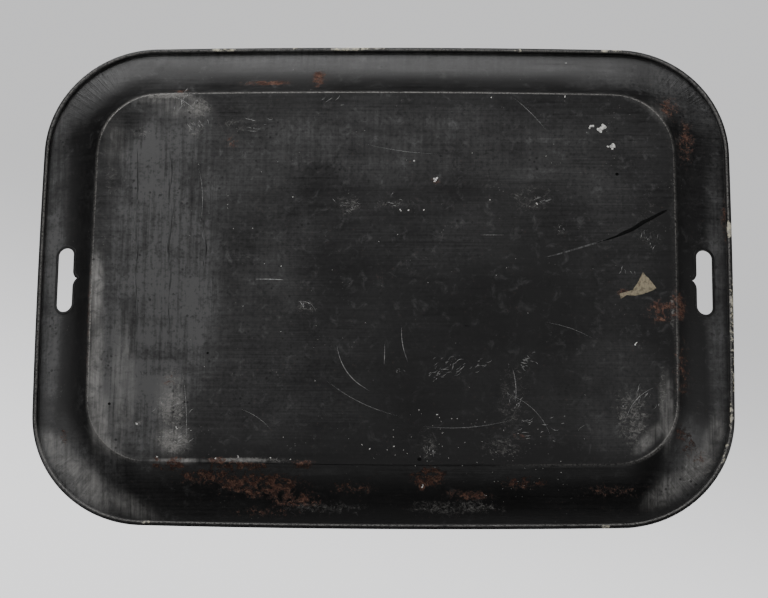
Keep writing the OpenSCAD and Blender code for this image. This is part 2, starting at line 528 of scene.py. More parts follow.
# Each patch: x, y, length, width, strength and, where it is turned, its angle in degrees.
WEAR_AND_PAINTED_LIGHT = {
    "rust": [
        (-133, 226, 62, 9, 0.9), (-75, 233, 18, 34, 0.7), (-228, 213, 30, 6, 0.6),
        (-168, 152, 18, 22, 0.35), (-228, -118, 22, 16, 0.35), (-225, -211, 46, 9, 0.95),
        (-150, -212, 80, 9, 0.8), (-190, -222, 70, 18, 0.75), (-130, -230, 110, 26, 0.85),
        (-90, -243, 60, 20, 0.8), (-30, -232, 60, 14, 0.5), (-120, -256, 90, 12, 0.4),
        (50, -221, 42, 20, 0.85), (90, -238, 60, 12, 0.65), (150, -226, 60, 14, 0.55),
        (147, -177, 14, 14, 0.6), (299, -40, 40, 30, 0.7), (318, -32, 22, 40, 0.7),
        (322, -100, 22, 90, 0.4), (312, 198, 30, 34, 0.55), (330, 160, 24, 70, 0.5), (258, -17, 16, 7, 0.9),
        (-318, -60, 7, 170, 0.35), (372, 70, 8, 60, 0.5), (330, -185, 26, 60, 0.4, 40),
        (250, -232, 80, 14, 0.35), (-342, -178, 10, 26, 0.4), (-228, -206, 40, 10, 0.75),
        (-168, -207, 44, 11, 0.85), (-84, -209, 34, 12, 0.5), (44.7, -228.6, 9, 9, 1.3),
        (32.1, 131.1, 7, 7, 1.1), (56.1, 109.2, 8, 8, 1.1),
    ],
    "rubbed": [
        (-225, -120, 40, 40, 0.35), (-225, -148, 42, 64, 0.52), (-222, -184, 44, 36, 0.62),
        (-242, 206, 76, 9, 0.66), (-206, 192, 34, 30, 0.55), (-208, 168, 30, 34, 0.35),
        (-262, -167, 10, 8, 0.6), (-268, 162, 30, 16, 0.35), (-160, 172, 60, 20, 0.3),
        (-140, -206, 110, 8, 0.5), (-300, 110, 20, 50, 0.25), (312, -40, 8, 60, 0.5),
        (300, -130, 12, 70, 0.4), (268, -160, 44, 90, 0.42), (252, -148, 16, 50, 0.3),
        (52, -190, 26, 44, 0.35), (140, -140, 40, 120, 0.28), (130, -190, 60, 30, 0.35),
        (-84, -36, 22, 22, 0.42), (-38, 80, 40, 30, 0.33), (345, -204, 50, 22, 0.4, 45),
        (80, -250, 130, 20, 0.4), (-60, -252, 120, 16, 0.36), (10, 80, 60, 20, 0.28),
        (160, 88, 60, 40, 0.3), (190, 50, 20, 30, 0.25), (285, 60, 30, 100, 0.22),
    ],
    "pale": [
        (-311, -20, 15, 100, 1.0), (-308, -110, 17, 120, 0.85), (-302, -165, 22, 70, 0.62),
        (-292, -190, 44, 18, 0.5, -45), (-240, 202, 84, 14, 0.4), (-222, 190, 60, 24, 0.35),
        (-224, -184, 40, 40, 0.4), (-226, -140, 34, 70, 0.22), (-280, -120, 30, 150, 0.3),
        (304, -150, 16, 90, 0.5), (288, -178, 52, 16, 0.55, 45), (-215, -207, 64, 6, 0.9),
        (-150, -206, 56, 5, 0.75), (-345, -197, 80, 28, 0.62, -52), (-318, -224, 90, 34, 0.75, -44),
        (-280, -246, 90, 24, 0.45, -24), (334, -206, 70, 28, 0.62, 48), (308, -228, 70, 26, 0.6, 36),
        (356, -170, 60, 22, 0.45, 70), (-268, -120, 10, 120, 0.25), (-296, 150, 30, 60, 0.18),
        (300, 190, 40, 20, 0.2, -45),
    ],
    # Painted reflection, mixed with dust: strongest on the left of the floor, along the upper flange, on the
    # side brims and in the corners, fainter elsewhere.
    "bloom_and_sheen": [
        (-236, 20, 160, 440, 1.32), (-170, 60, 240, 340, 0.5), (-290, -120, 50, 260, 1.35),
        (-100, 262, 640, 26, 0.72), (60, 254, 600, 36, 0.62), (-361, 30, 28, 440, 1.35),
        (-330, 225, 150, 60, 0.6, 45), (250, 235, 120, 40, 0.5), (250, -130, 120, 150, 0.42),
        (0, 150, 560, 120, 0.6), (362, -20, 26, 420, 0.8), (325, 220, 150, 60, 0.6, -45),
        (180, -130, 200, 110, 0.2), (-120, -120, 240, 160, 0.3), (240, 120, 130, 160, 0.3),
        (20, 60, 300, 140, 0.22), (-332, -214, 130, 66, 1.3, -48), (330, -208, 120, 54, 0.9, 50),
        (250, -10, 120, 160, 0.16), (-250, -110, 110, 210, 1.6), (-262, 120, 70, 140, 1.5),
    ],
    # Painted shade, mixed with dirt: these darken the lower flange, the lower middle of the floor and the
    # steep walls at the left and right.
    "grime_and_shade": [
        (-20, -252, 460, 44, 0.95), (170, -244, 300, 60, 0.95), (60, -120, 360, 150, 0.5),
        (60, -205, 420, 50, 0.85), (-60, -180, 120, 60, 0.5), (335, -20, 20, 200, 0.5),
        (-336, 0, 34, 420, 0.9), (-10, -225, 300, 20, 0.8),
    ],
    "line": [
        (0, 207, 660, 24, 0.8), (309, 60, 24, 330, 0.6), (290, -170, 100, 90, 1.3, 55),
        (309, -90, 24, 200, 0.9), (-290, -185, 90, 70, 0.85, -45), (-318, -60, 24, 250, 0.9),
        (-290, 180, 80, 80, 0.9, 45), (285, 180, 80, 80, 0.8, -45), (-316, 100, 20, 120, 0.5),
        (200, -208, 160, 12, 0.3),
    ],
    "chipped": [
        (-36, 272, 84, 7, 1), (-182, 270, 40, 6, 0.85), (150, 270, 24, 6, 0.8), (250, 270, 44, 6, 0.8),
        (-325, 222, 60, 9, 0.9, 52), (377, 62, 10, 26, 1.1), (-252, -268, 16, 6, 0.9),
        (238, -270, 20, 6, 0.9), (-372, 150, 8, 60, 0.5), (378, -60, 8, 200, 0.72),
        (374, -150, 10, 80, 0.72), (366, -190, 20, 60, 0.55), (60, 272, 160, 6, 0.4),
        (-110, 272, 60, 6, 0.5), (-377, -60, 6, 260, 0.35),
    ],
}


def mark_wear_and_painted_light(pan, sheet):
    """Stores on each point of the pan how rusted, rubbed and chipped it is, how much dust and painted
    reflection lighten it, how much dirt and painted shade darken it, and where pale lines of wear and
    painted highlight run.
    """
    patches = {name: [Patch(*spot) for spot in spots] for name, spots in WEAR_AND_PAINTED_LIGHT.items()}
    fields = {name: [] for name in (*patches, "corner")}
    for v in pan.data.vertices:
        direction, u = sheet.where(v.co.x, v.co.y)
        for name, spots in patches.items():
            fields[name].append(max(p.weight(v.co.x, v.co.y) for p in spots))
        fields["chipped"][-1] *= smooth(-7 * MM, -5 * MM, u)
        past_crease = (u + sheet.flange_w - 0.9 * MM) / (0.6 * MM)
        # Painted highlight, partly wear too: a thin pale line along the crest of the bead, all the way
        # round.
        past_crest = (u - sheet.curl_c.x + 0.6 * MM) / (0.7 * MM)
        crease = math.exp(-(past_crease**2)) * fields["line"][-1]
        fields["line"][-1] = max(crease, 0.62 * math.exp(-(past_crest**2)))
        fields["corner"].append(sheet.cornering(direction) * smooth(-0.9, 0, u / sheet.flange_w))
    for name, values in fields.items():
        pan.data.attributes.new(name, "FLOAT", "POINT").data.foreach_set("value", values)
    store_round_map(pan.data, sheet)


def store_round_map(mesh, sheet):
    """A map whose U runs round the tray and whose V runs across the flange, in metres."""
    layer = mesh.uv_layers.new(name="round")
    spots = []
    for v in mesh.vertices:
        direction, u = sheet.where(v.co.x, v.co.y)
        spots.append((direction * sheet.sizes.corner_radius, u))
    for loop in mesh.loops:
        layer.data[loop.index].uv = spots[loop.vertex_index]


def split_faces(pan, sheet):
    """Gives the upper face of the sheet the second material."""
    for f in pan.data.polygons:
        u = sheet.where(f.center.x, f.center.y)[1]
        above = f.center.z - sheet.dent(f.center.x, f.center.y)
        middle = (sheet.lower_face(u) + sheet.upper_face(u)) / 2
        f.material_index = 1 if u < sheet.curl_c.x and above > middle else 0


# ---------------------------------------------------------------- small marks on the underside


def below(sheet, x, y, depth):
    """A point under the sheet, from millimetres as seen from below and a depth in millimetres."""
    x, y = -x * MM, y * MM
    u = sheet.where(x, y)[1]
    return Vector((x, y, sheet.lower_face(u) + sheet.dent(x, y) - depth * MM))


def above(sheet, x, y, height):
    """A point over the sheet, from metres as seen from above and a height in millimetres."""
    u = sheet.where(x, y)[1]
    return Vector((x, y, sheet.upper_face(u) + sheet.dent(x, y) + height * MM))


def stroke(name, points, width, lay, height=0.05, taper=0.5):
    """A thin ridge along points in the plane, laid on the sheet by lay(x, y, height)."""
    count = len(points)

    def place(i, j):
        p = Vector(points[i])
        along = Vector(points[min(i + 1, count - 1)]) - Vector(points[max(i - 1, 0)])
        across = Vector((-along.y, along.x)).normalized()
        share = i / (count - 1)
        half = 0.5 * width * max(0.02, min(1, share / taper, (1 - share) / taper)) ** 0.6
        side = (-1, 0, 1, -1)[j]
        q = p + across * half * side
        return lay(q.x, q.y, height if side == 0 else -0.02)

    ridge = net(name, count, 4, place)
    weld(ridge)
    return ridge


def bowed(start, end, bow, steps):
    """Points from start to end along a line that bows to one side."""
    start, end = Vector(start), Vector(end)
    along = end - start
    across = Vector((-along.y, along.x))
    shares = [k / steps for k in range(steps + 1)]
    return [start + along * t + across * bow * 4 * t * (1 - t) for t in shares]


SCRATCHES = [
    ((-58, -119), (20, -157), -0.06, 0.35), ((-49, -78), (-13, -129), -0.13, 0.8),
    ((20.6, -57.1), (27.5, -96), -0.06, 0.7), ((2.5, -77), (2.1, -100), 0.01, 0.75),
    ((140, 205), (176, 168), 0.03, 0.45), ((-139, -4.9), (-108, -5.4), 0.01, 1.2),
    ((45, -168), (140, -160), -0.05, 0.4), ((104.5, 46.3), (130.6, 46.4), 0, 0.5),
    ((-241, 207), (-205, 182), 0.1, 0.5), ((-214, -112), (-209, -196), 0.03, 0.5),
    ((261, -158), (291, -124), 0.12, 0.6), ((-92, -30), (-72, -41), 0.2, 0.5),
    ((-20, 150), (62, 139), -0.03, 0.35), ((140, -104), (143, -140), 0.05, 0.8),
    ((176, -52), (226, -70), 0.05, 0.35), ((-150, -150), (-118, -172), 0.06, 0.4),
    ((-204, 122), (-200, 60), 0.05, 0.4), ((130, -130), (180, -176), 0.12, 0.4),
]
SCUFFS = [
    (66, -104, 20, 26, 0.5), (58, -112, 9, 12, 0.5), (104, -96, 16, 8, 0.3), (158, -96, 14, 12, -0.5),
    (-84, -34, 11, 10, 2.0), (-38, 78, 14, 10, 2.4), (-222, 196, 22, 16, 1.2), (-206, 168, 14, 10, 2.2),
    (-222, -180, 18, 20, 0.3), (-226, -150, 16, 14, 0.8), (52, -196, 14, 8, 1.5), (140, -140, 14, 12, 1.4),
    (158, -176, 22, 10, 0.4), (276, -140, 22, 12, 1.2), (190, -166, 24, 6, 0.0), (20, -108, 6, 5, 2.6),
    (8, 82, 16, 7, 0.2), (165, 84, 20, 7, 0.3), (192, 54, 8, 5, 2.0), (-150, 172, 26, 8, 0.1),
    (-60, 196, 30, 6, 0.6), (284, 40, 16, 10, 1.4), (262, 4, 14, 6, 1.6), (330, -214, 16, 14, 0.7),
]
FLECKS = [
    (225.5, 171.5, 4.2, 3), (237.3, 168.9, 5.6, 7), (247.2, 148.1, 5, 6), (56.1, 109.2, 3.6, 5),
    (-100, 89, 1.8, 1), (-143, 53, 1.5, 1), (-111, 10, 1.6, 1), (32.1, 131.1, 2.4, 1),
    (44.7, -228.6, 3.2, 2), (18, 74.3, 1.6, 3), (26.8, 73.8, 1.4, 3), (43, 74.3, 1.3, 3),
    (166.8, 81.4, 2.2, 2), (197.3, 205.4, 2, 2), (116.5, 204.7, 1.8, 1), (115.3, 86.4, 1.2, 1),
    (-171, 90, 0.9, 1), (-171, 85, 0.9, 1), (-171, 80, 0.9, 1), (-171, 76, 0.9, 1), (-262.5, -167, 1.8, 4),
    (-219, -171, 1.8, 3), (60, -155, 1.5, 2), (40, -150, 1.3, 1), (13, -172, 1.7, 1), (-12, -193, 1.9, 1),
    (200, 256, 1.4, 2), (-104, 246, 1.2, 1), (271.9, -75.4, 2.2, 3), (-238, -203, 1.5, 3),
    (-176, -204, 1.4, 3), (-152, -202, 1.6, 3), (-118, -203, 1.2, 2), (-96, -205, 1.2, 2),
    (-20, -189, 1.4, 2), (14, -190, 1.3, 2),
]
SPECKLED = [  # how many small specks, and the ranges of x, y and size
    (46, (-10, 175), (-214, -150), (0.5, 1.1)),
    (26, (110, 195), (-248, -205), (0.4, 0.9)),
    (44, (-270, 270), (-190, 190), (0.4, 0.9)),
]
CREASES = [
    ((-272, 142), (-270, 92), (-271.5, 60), (-268, 30), (-269.5, -4), (-266, -36), (-265.3, -63)),
    ((-236.5, 142), (-233, 116), (-235.5, 92), (-231.5, 64), (-234.5, 30), (-231, 0), (-232.5, -30),
    (-229.7, -60)),
    ((-194, 66), (-197, 48), (-193, 30), (-196, 8)),
]
STREAK = [(175.3, 21.2), (195.2, 26.5), (220.1, 34.4), (245, 42.4), (267.4, 51.6), (285, 62.1), (307.5, 74)]
SPOTS = [(253.7, 116.2, 4.2), (-292, -145, 3.6), (56.1, 109.2, 2.6), (41, -204, 5), (-188, -88, 3)]


def through(points, steps=6):
    """A smooth line through points."""
    line = []
    ends = [points[0], *points, points[-1]]
    for a, b, c, d in zip(ends, ends[1:], ends[2:], ends[3:]):
        a, b, c, d = Vector(a), Vector(b), Vector(c), Vector(d)
        for t in (k / steps for k in range(steps)):
            bend = 2 * a - 5 * b + 4 * c - d + t * (3 * b - a - 3 * c + d)
            line.append(b + 0.5 * t * (c - a + t * bend))
    return line + [Vector(points[-1])]


def build_creases(sheet):
    """The two sharp creases where the floor was once bent, and a short one beside them."""
    lay = partial(below, sheet)
    ridges = [stroke("crease", through(c), 2.6, lay, height=0.5, taper=0.3) for c in CREASES]
    ridges.append(stroke("crease", through(STREAK)[:24], 2.2, lay, height=0.14, taper=0.35))
    return join("creases", ridges)


def build_streak(sheet):
    """A run of black varnish, and the drips and burnt spots near it."""
    lay = partial(below, sheet)
    line = through(STREAK)
    drips = [p + Vector((0.6, 1.4 + 0.5 * math.sin(k))) for k, p in enumerate(line[20:])]
    parts = [stroke("streak", line[14:], 3.6, lay, height=0.28)]
    parts.append(stroke("streak", drips, 4.2, lay, height=0.32, taper=0.3))
    form = model_fleck()
    for x, y, size in SPOTS:

        def move(p, x=x, y=y, size=size):
            return lay(x + p.x * size, y + p.y * size * 0.9, 0.12 * abs(p.z) - 0.02)

        parts.append(copy_of(form, move))
    bpy.data.objects.remove(form)
    streak = join("black_streak", parts)
    weld(streak)
    return streak


def build_scratches(sheet, seed):
    """Single scratches, and clusters of short ones where something has rubbed."""
    chance = random.Random(seed)
    lay = partial(below, sheet)
    marks = [stroke("scratch", bowed(a, b, bow, 12), width, lay) for a, b, bow, width in SCRATCHES]
    for x, y, spread, count, lean in SCUFFS:
        for _ in range(count):
            start = Vector((chance.gauss(x, spread / 2.4), chance.gauss(y, spread / 3.2)))
            turn = lean + chance.gauss(0, 0.35)
            end = start + Vector((math.cos(turn), math.sin(turn))) * chance.uniform(1.5, 0.5 * spread)
            line = bowed(start, end, chance.uniform(-0.2, 0.2), 4)
            marks.append(stroke("scuff", line, chance.uniform(0.3, 0.75), lay))
    return join("scratches", marks)


def model_fleck():
    """One rounded crumb of old paint, a unit wide, with its open side down."""
    tidy_selection()
    bpy.ops.mesh.primitive_circle_add(vertices=9, radius=0.5, fill_type="NGON")
    fleck = bpy.context.object
    bpy.ops.object.mode_set(mode="EDIT")
    bpy.ops.mesh.select_all(action="SELECT")
    bpy.ops.mesh.inset(thickness=0.09, depth=0.5)
    bpy.ops.mesh.inset(thickness=0.17, depth=0.3)
    bpy.ops.object.mode_set(mode="OBJECT")
    return fleck


def copy_of(form, move):
    """A copy of a form with a mesh of its own, whose points are put where move(point) says."""
    copy = form.copy()
    copy.data = form.data.copy()
    bpy.context.scene.collection.objects.link(copy)
    for v in copy.data.vertices:
        v.co = move(v.co.copy())
    return copy


def build_flecks(sheet, seed):
    """Pale crumbs and specks stuck to the underside."""
    chance = random.Random(seed + 1)
    spots = []
    for x, y, size, count in FLECKS:
        for k in range(count):
            away = 0.62 * size if k else 0
            turn = chance.uniform(0, math.tau)
            width = size * chance.uniform(0.55, 1)
            spots.append((x + away * math.cos(turn), y + away * math.sin(turn), width))
    for count, *ranges in SPECKLED:
        spots += [[chance.uniform(*reach) for reach in ranges] for _ in range(count)]
    form = model_fleck()
    crumbs = []
    for x, y, size in spots:
        turn, squeeze = chance.uniform(0, math.pi), chance.uniform(0.5, 1)

        def move(p, x=x, y=y, size=size, turn=turn, squeeze=squeeze):
            q = Matrix.Rotation(turn, 2) @ Vector((p.x * size, p.y * size * squeeze))
            return below(sheet, x + q.x, y + q.y, 0.16 * abs(p.z) - 0.02)

        crumbs.append(copy_of(form, move))
    bpy.data.objects.remove(form)
    flecks = join("flecks", crumbs)
    weld(flecks)
    return flecks


LABEL = [
    (280.6, 4.8), (284.2, 0.2), (288.1, -3.6), (291.6, -8.8), (295.1, -13.1), (291, -16.2), (286, -17.9),
    (279.5, -20.4), (272, -21.8), (264, -21.2), (256.7, -22.4), (257, -20.8), (262.5, -19.4), (268.5, -17.8),
    (270.6, -13.4), (274.1, -8.2), (277.2, -2.4),
]


def build_label(sheet):
    """What is left of a paper label, torn all round and stuck down."""
    tidy_selection()
    bpy.ops.mesh.primitive_circle_add(vertices=4 * len(LABEL), radius=1, fill_type="NGON")
    label = bpy.context.object
    outline = []
    for k, corner in enumerate(LABEL):
        following = LABEL[(k + 1) % len(LABEL)]
        for step in range(4):
            p = Vector(corner).lerp(Vector(following), step / 4)
            fray = 0.9 * noise(Vector((p.x * 0.8, p.y * 0.8, 3)))
            outline.append(p + Vector((fray, fray)))
    for v, p in zip(label.data.vertices, outline):
        v.co = (p.x, p.y, 0)
    bpy.ops.object.mode_set(mode="EDIT")
    bpy.ops.mesh.select_all(action="SELECT")
    bpy.ops.mesh.inset(thickness=0.5, depth=0.3)
    bpy.ops.mesh.inset(thickness=1.3, depth=0)
    bpy.ops.mesh.poke()
    bpy.ops.object.mode_set(mode="OBJECT")
    for v in label.data.vertices:
        lift = 0.16 if abs(v.co.z) > 0.1 else -0.05
        ripple = 0.12 * noise(Vector((v.co.x * 0.3, v.co.y * 0.3, 9)))
        v.co = below(sheet, v.co.x, v.co.y, lift + (ripple if lift > 0 else 0))
    weld(label)
    label.name = label.data.name = "label_scrap"
    return label


# ---------------------------------------------------------------- gilding and bouquet on the upper face
# Places here are in millimetres as seen from above, with x to the right and y up.


ALONG = (0, 0.04, 0.2, 0.4, 0.6, 0.8, 0.95, 1)
ACROSS = (-1, -0.9, -0.45, 0, 0.45, 0.9, 1)


def model_petal(name, base, tip, fullness, notch=0.0):
    """A petal one unit long and one wide, from its base at the origin along x. Its skirt goes down to 0."""

    def half_width(t):
        return 0.5 * fullness * (t + 0.03) ** base * (1.03 - t) ** tip

    def place(i, j):
        t, v = ALONG[i], ACROSS[j]
        rim = i in (0, 7) or j in (0, 6)
        dome = (1 - 0.75 * v * v) * (0.45 + 0.55 * math.sin(math.pi * min(1, 0.15 + 0.8 * t)))
        return t - notch * t * (1 - abs(v)) ** 2, v * half_width(t), 0 if rim else dome

    petal = net(name, len(ALONG), len(ACROSS), place)
    stroke_map = petal.data.uv_layers.new(name="stroke")
    for loop in petal.data.loops:
        k = petal.data.vertices[loop.vertex_index].co
        stroke_map.data[loop.index].uv = (k.x, 0.5 + k.y)
    return petal


def between(a, b, share):
    return tuple(p + (q - p) * min(1, max(0, share)) for p, q in zip(a, b))


class Brush:
    """Lays copies of the petal forms on the painted face, with colours from dark to light."""

    def __init__(self, sheet, seed):
        self.sheet = sheet
        self.chance = random.Random(seed)
        self.forms = {
            "broad": model_petal("broad", 0.55, 0.32, 1.3, 0.07),
            "narrow": model_petal("narrow", 0.6, 0.5, 1.5),
            "leaf": model_petal("leaf", 0.6, 1.15, 2.05),
        }
        self.strokes = []
        self.grow = 1.14 * MM

    def petal(self, form, x, y, size, width, turn, tones, lift=0.0, bend=0.0, tilt=0.12):
        """One petal: its base at x, y in millimetres, and its tones dark, middle and light."""
        turning = Matrix.Rotation(turn, 2)
        warm = self.chance.uniform(-0.12, 0.12)
        shape = self.forms[form]
        points = [v.co.copy() for v in shape.data.vertices]
        lit = math.sin(turn - math.radians(135))

        def move(p):
            q = turning @ Vector((p.x * size, p.y * width + bend * size * p.x * p.x))
            raised = lift + (0.14 + 0.10 * p.z + tilt * p.y) if p.z > 0 else -0.12
            return self.lay(x + q.x, y + q.y, raised)

        copy = copy_of(shape, move)
        paint = copy.data.attributes.new("paint", "FLOAT_COLOR", "POINT")
        dark, middle, light = tones
        for k, p in enumerate(points):
            side = 2 * p.y
            tone = between(dark, middle, smooth(0.05, 0.75, p.x + warm))
            tone = between(tone, light, smooth(0.45, 1.05, p.x + 0.55 * side * -lit + warm) * 0.9)
            tone = between(tone, dark, 0.55 * smooth(0.3, 1.0, side * lit))
            paint.data[k].color = (*tone, 1)
        self.strokes.append(copy)

    def ring(self, form, x, y, radius, size, width, count, tones, lift, start=0.0, bend=0.0):
        """A ring of petals round x, y with their bases at the given radius."""
        for k in range(count):
            turn = start + math.tau * k / count + self.chance.uniform(-0.06, 0.06)
            grow = self.chance.uniform(0.93, 1.07)
            px, py = x + radius * math.cos(turn), y + radius * math.sin(turn)
            self.petal(form, px, py, size * grow, width * grow, turn, tones, lift, bend)

    def lay(self, x, y, height):
        """A point on the painted face, from the bouquet's own x and y."""
        return above(self.sheet, x * self.grow, y * self.grow, height)

    def line(self, points, width, tone, height=0.09, taper=0.35, lift=0.0):
        """A fine stem, vein or tendril."""
        stem = stroke("stem", points, width, lambda x, y, h: self.lay(x, y, h + lift), height, taper)
        paint = stem.data.attributes.new("paint", "FLOAT_COLOR", "POINT")
        for item in paint.data:
            item.color = (*tone, 1)
        self.strokes.append(stem)

    def done(self, name):
        for form in self.forms.values():
            bpy.data.objects.remove(form)
        return join(name, self.strokes)


def shades(tone, depth=0.16, shine=0.75):
    """Dark, middle and light tones of one colour."""
    return tuple(c * depth for c in tone), tuple(tone), between(tone, (0.95, 0.9, 0.82), shine)


def rose(brush, x, y, r, tones):
    """A full rose: three wide rings closing to a cupped heart."""
    brush.ring("broad", x, y, 0.30 * r, 0.70 * r, 0.78 * r, 7, tones, 0.0, 0.2)
    brush.ring("broad", x, y, 0.20 * r, 0.56 * r, 0.66 * r, 6, tones, 0.12, 0.7)
    brush.ring("broad", x, y, 0.12 * r, 0.42 * r, 0.52 * r, 5, tones, 0.24, 0.1)
    brush.ring("broad", x, y + 0.04 * r, 0.06 * r, 0.28 * r, 0.36 * r, 4, tones, 0.36, 0.9, 0.2)
    dark = (tones[0], tones[0], tones[1])
    brush.ring("narrow", x, y + 0.05 * r, 0.0, 0.15 * r, 0.10 * r, 5, dark, 0.48, 0.4)


def peony(brush, x, y, r, tones):
    """A loose peony: broad guard petals round a crowd of narrow ones."""
    brush.ring("broad", x, y, 0.34 * r, 0.66 * r, 0.66 * r, 8, tones, 0.0)
    brush.ring("broad", x, y, 0.22 * r, 0.55 * r, 0.48 * r, 9, tones, 0.12, 0.35)
    for k, (radius, size, count) in enumerate(((0.2, 0.42, 12), (0.12, 0.34, 10), (0.04, 0.24, 8))):
        lift = 0.24 + 0.1 * k
        brush.ring("narrow", x, y, radius * r, size * r, 0.2 * r, count, tones, lift, 0.17 * k, 0.12)


def dahlia(brush, x, y, r, tones):
    """A dahlia: four rings of narrow petals, shorter towards the middle."""
    rings = ((0.36, 0.64, 15), (0.24, 0.54, 13), (0.12, 0.42, 11), (0.04, 0.26, 8))
    for k, (radius, size, count) in enumerate(rings):
        brush.ring("narrow", x, y, radius * r, size * r, 0.24 * r, count, tones, 0.1 * k, 0.21 * k)


def open_flower(brush, x, y, r, tones, eye, count=5, form="broad", width=0.86):
    """A simple open flower with a raised eye."""
    brush.ring(form, x, y, 0.08 * r, 0.92 * r, width * r, count, tones, 0.0, 0.3)
    brush.ring("narrow", x, y, 0.0, 0.24 * r, 0.13 * r, 9, eye, 0.2)


def bud(brush, x, y, size, turn, tones, green):
    """A closed bud on its stem's end, with two sepals."""
    for spread in (-0.28, 0.28, 0.0):
        brush.petal("narrow", x, y, size, 0.5 * size, turn + spread, tones, 0.05 if spread else 0.15)
    for spread in (-0.55, 0.55):
        brush.petal("leaf", x, y, 0.62 * size, 0.2 * size, turn + spread, green, 0.22)


LEAVES = [
    (-132, 14, 62, 24, 168), (-120, -62, 66, 26, 205), (-92, -86, 54, 22, 236), (-40, -102, 60, 22, 255),
    (22, -104, 56, 22, 282), (78, -78, 64, 24, 308), (126, -52, 62, 24, 336), (140, 4, 60, 24, 2),
    (128, 50, 64, 24, 24), (96, 84, 60, 22, 52), (34, 112, 58, 22, 74), (-22, 118, 56, 22, 104),
    (-78, 92, 64, 24, 128), (-122, 56, 64, 24, 150), (-104, 0, 70, 28, 182), (104, 20, 70, 28, 8),
    (-8, -88, 60, 24, 268), (10, 108, 58, 24, 92), (-70, -74, 58, 24, 222), (98, -60, 58, 22, 322),
    (-84, 70, 58, 22, 140), (92, 62, 60, 22, 38), (-140, -20, 48, 18, 190), (150, -28, 46, 18, 350),
    (52, -94, 46, 18, 295), (-60, 106, 46, 18, 118), (62, 104, 46, 18, 62), (-112, -74, 44, 16, 215),
]
SPRAYS = [
    (-130, 20, 206, 168, 0.10), (-120, -50, 200, 196, -0.10), (-112, -78, 178, 214, 0.08),
    (-60, -100, 168, 240, -0.1), (20, -104, 156, 276, 0.08), (90, -90, 172, 306, -0.08),
    (130, -56, 190, 336, 0.10), (140, 0, 208, 356, -0.08), (134, 56, 204, 22, 0.08),
    (90, 100, 178, 52, -0.1), (24, 122, 168, 82, 0.1), (-40, 120, 168, 106, -0.08),
    (-96, 98, 182, 134, 0.1), (-130, 60, 206, 158, -0.1),
]
DAISIES = [(-150, 38, 24), (152, 34, 23), (82, -96, 22), (-84, -98, 22), (-76, 104, 21), (88, 104, 22)]


def build_bouquet(sheet, colours, seed):
    """A bouquet of garden flowers, painted wet in layers from leaves up to full flowers."""
    brush = Brush(sheet, seed)
    green = shades(colours.leaf, 0.16, 0.42)
    olive = shades(between(colours.leaf, colours.sun, 0.25), 0.2, 0.35)
    crimson, pink = shades(colours.rose, 0.1, 0.62), shades(colours.blush, 0.22, 0.85)
    gold, blue = shades(colours.sun, 0.2, 0.6), shades(colours.sky, 0.16, 0.8)
    cream = shades((0.72, 0.66, 0.5), 0.3, 0.9)
    scarlet = shades(between(colours.rose, colours.sun, 0.4), 0.12, 0.55)
    lilac = shades(between(colours.sky, colours.blush, 0.55), 0.2, 0.8)
    tips = (crimson, blue, gold, pink)
    for k, (x, y, reach, turn, bow) in enumerate(SPRAYS):
        turn = math.radians(turn)
        far = Vector((reach * math.cos(turn), 0.74 * reach * math.sin(turn)))
        path = bowed((0.55 * x, 0.55 * y), far, bow, 12)
        brush.line(path, 1.3, between(green[1], green[2], 0.35))
        heading = path[-1] - path[-2]
        bud(brush, far.x, far.y, 17, math.atan2(heading.y, heading.x), tips[k % 4], green)
        for step, side in ((6, 1), (8, -1), (10, 1)):
            p = path[step]
            lean = math.atan2(heading.y, heading.x) + side * 0.75
            brush.petal("leaf", p.x, p.y, 20 - step * 0.6, 7, lean, olive, 0.0, side * 0.12)
            curl = []
            for n in range(9):
                t = n / 8
                heading_on = lean - side * t * 0.9
                curl.append(p + Vector((math.cos(heading_on), math.sin(heading_on))) * 26 * t)
            brush.line(curl, 0.7, green[2])
    for k, (x, y, size, width, turn) in enumerate(LEAVES):
        lean = math.radians(turn)
        x, y, size = 0.8 * x, 0.8 * y, 1.22 * size
        bend = 0.1 * (-1) ** k
        brush.petal("leaf", x, y, size, width, lean, green if k % 3 else olive, 0.02 * (k % 3), bend)
        spin = Matrix.Rotation(lean, 2)
        shares = [n / 8 * 0.9 for n in range(9)]
        vein = [Vector((x, y)) + spin @ Vector((size * t, bend * size * t * t)) for t in shares]
        brush.line(vein, 0.9, green[2], height=0.12, taper=0.5, lift=0.3)
    for x, y, r in DAISIES:
        open_flower(brush, x, y, r, cream, gold, 11, "narrow", 0.34)
    open_flower(brush, -128, -34, 38, blue, gold)
    open_flower(brush, 132, -26, 38, scarlet, gold, 6)
    open_flower(brush, -6, 96, 38, lilac, gold, 6)
    open_flower(brush, 148, 76, 20, blue, gold)
    open_flower(brush, -142, 84, 19, scarlet, gold)
    open_flower(brush, 0, -112, 20, blue, gold)
    dahlia(brush, 8, -62, 48, gold)
    peony(brush, 66, 26, 62, pink)
    rose(brush, -58, 14, 66, crimson)
    return brush.done("bouquet")


